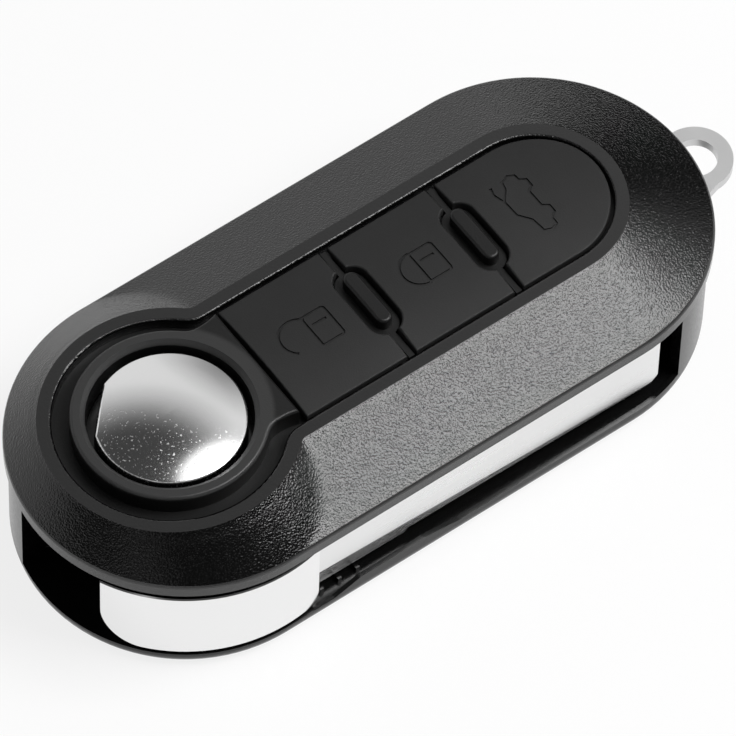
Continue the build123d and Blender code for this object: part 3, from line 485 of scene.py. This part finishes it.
bpy.ops.mesh.primitive_plane_add(size=floor_size, location=floor_middle)
floor = bpy.context.object
floor.name = "floor"
floor_white, shader = new_material("floor_white", Base_Color=grey(250), Roughness=0.9)
floor.data.materials.append(floor_white)
tree = floor_white.node_tree
glow = add_node(tree, "ShaderNodeEmission")
glow.inputs["Color"].default_value = (1, 1, 1, 1)
glow.inputs["Strength"].default_value = 1.0
mix_shaders(tree, seen_or_mirrored(tree, floor_share), shader.outputs["BSDF"], glow.outputs["Emission"],
            tree.nodes["Material Output"])
print("floor:", floor_size, "m wide")

# %% World
world = bpy.data.worlds.new("studio")
bpy.context.scene.world = world
world.use_nodes = True
tree = world.node_tree
room = tree.nodes["Background"]
room.inputs["Color"].default_value = (1, 1, 1, 1)
room.inputs["Strength"].default_value = room_light
white = add_node(tree, "ShaderNodeBackground")
white.inputs["Color"].default_value = (1, 1, 1, 1)
white.inputs["Strength"].default_value = 1.0
mix_shaders(tree, seen_or_mirrored(tree, 1.0), room.outputs["Background"], white.outputs["Background"],
            tree.nodes["World Output"])
print("world:", world.name)

# %% [markdown]
# ## Lamp
#
# One soft box stands high in front of the slot, on the side of the loop. The near slope mirrors it to the
# camera, so the grain there sparkles, and it is the bright patch on the button. Places round the key are
# given as on a globe, by azimuth and elevation, because that is how a lamp is walked round a table.

# %% Soft box
studio_target = Vector((0.02, 0, 0.01))


def direction_at(azimuth, elevation):
    # The way from the key to a place round it: azimuth 0 is in front of the slot, and 90 past the loop.
    turn = math.radians(azimuth)
    rise = math.radians(elevation)
    return Vector((math.sin(turn) * math.cos(rise), -math.cos(turn) * math.cos(rise), math.sin(rise)))


def add_softbox(name, azimuth, elevation, distance, size, power):
    away = direction_at(azimuth, elevation)
    bpy.ops.object.light_add(type="AREA", location=studio_target + away * distance)
    lamp = bpy.context.object
    lamp.name = name
    lamp.data.size = size
    lamp.data.energy = power
    lamp.rotation_euler = away.to_track_quat("Z", "Y").to_euler()
    return lamp


key_lamp = add_softbox("key_lamp", azimuth=52, elevation=57, distance=0.6, size=0.32, power=3.4)
print("lamp:", key_lamp.name, key_lamp.data.energy, "W")

# %% [markdown]
# ## Cards
#
# A photographer hangs dark cards round shiny things, because black plastic stays black only if it has
# something dark to mirror. Here five of them hang over the key, in front of its slot, beside its hinge
# end and past its loop. Only reflections see them, and they fade to pale at their edges, so that the
# plating shows no hard edge. The domed button mirrors the one overhead as a dark pool. A white disc
# behind the lamp is the soft glow round it. They are staged, so they are no part of the key.

# %% Card materials
card_dark = 0.06
card_pale = 0.85
fade_start = 0.4
fade_end = 0.88

card_black, shader = new_material("card_black", Base_Color=(0, 0, 0, 1), Roughness=0.9,
                                  Specular_IOR_Level=0.0, Emission_Strength=1.0)
tree = card_black.node_tree
from_middle = add_node(tree, "ShaderNodeVectorMath", operation="LENGTH")
tree.links.new(object_place(tree), from_middle.inputs[0])
paler = ramp(tree, from_middle.outputs["Value"], fade_start, fade_end, card_dark, card_pale,
             shape="SMOOTHSTEP")
tree.links.new(paler, shader.inputs["Emission Color"])
card_white, _ = new_material("card_white", Base_Color=(0, 0, 0, 1), Roughness=0.9, Specular_IOR_Level=0.0,
                             Emission_Color=(1, 1, 1, 1), Emission_Strength=1.9)
print("made:", card_black.name, card_white.name)

# %% Hang the cards
card_radius = 0.9


def add_card(name, azimuth, elevation, distance, radius, material):
    away = direction_at(azimuth, elevation)
    bpy.ops.mesh.primitive_circle_add(vertices=64, radius=radius, fill_type="NGON",
                                      location=studio_target + away * distance,
                                      rotation=away.to_track_quat("Z", "Y").to_euler())
    card = bpy.context.object
    card.name = name
    card.data.materials.append(material)
    card.visible_camera = False
    card.visible_diffuse = False
    card.visible_shadow = False
    return card


# Each card's azimuth, elevation and distance.
dark_cards = {
    "top_card": (-125, 77, 0.9),
    "front_card": (25, 26, 1.2),
    "corner_card": (-25, 26, 1.2),
    "left_card": (-88, 26, 1.2),
    "end_card": (116, 14, 1.3),
}
for name, (azimuth, elevation, distance) in dark_cards.items():
    add_card(name, azimuth, elevation, distance, card_radius, card_black)
add_card("lamp_glow", azimuth=46, elevation=65, distance=0.64, radius=0.3, material=card_white)
print("cards hung:", len(dark_cards) + 1)

# %% [markdown]
# ## Camera
#
# The photograph looks down on the key from in front and to the left, from far enough away that the far
# end is hardly smaller than the near one. Its angles and its long lens were worked out from the outlines
# of the case. The lens is given in pixels of the square picture, which is what such a fit measures.

# %% Camera
camera_azimuth = -37.98
camera_elevation = 56.58
camera_roll = 2.12
camera_distance = 0.8
camera_target = Vector((0.02069, 0.00029, 0.006))
picture_width = 736
focal_pixels = 8777

away = direction_at(camera_azimuth, camera_elevation)
bpy.ops.object.camera_add(location=camera_target + away * camera_distance)
camera = bpy.context.object
camera.name = "camera"
camera.rotation_euler = (math.radians(90 - camera_elevation), 0, math.radians(camera_azimuth))
camera.rotation_euler.rotate_axis("Z", math.radians(camera_roll))
camera.data.sensor_width = 36.0
camera.data.lens = camera.data.sensor_width * focal_pixels / picture_width
camera.data.clip_end = 10.0
bpy.context.scene.camera = camera
bpy.context.scene.view_settings.view_transform = "Standard"
print("camera at", tuple(round(v, 4) for v in camera.location))
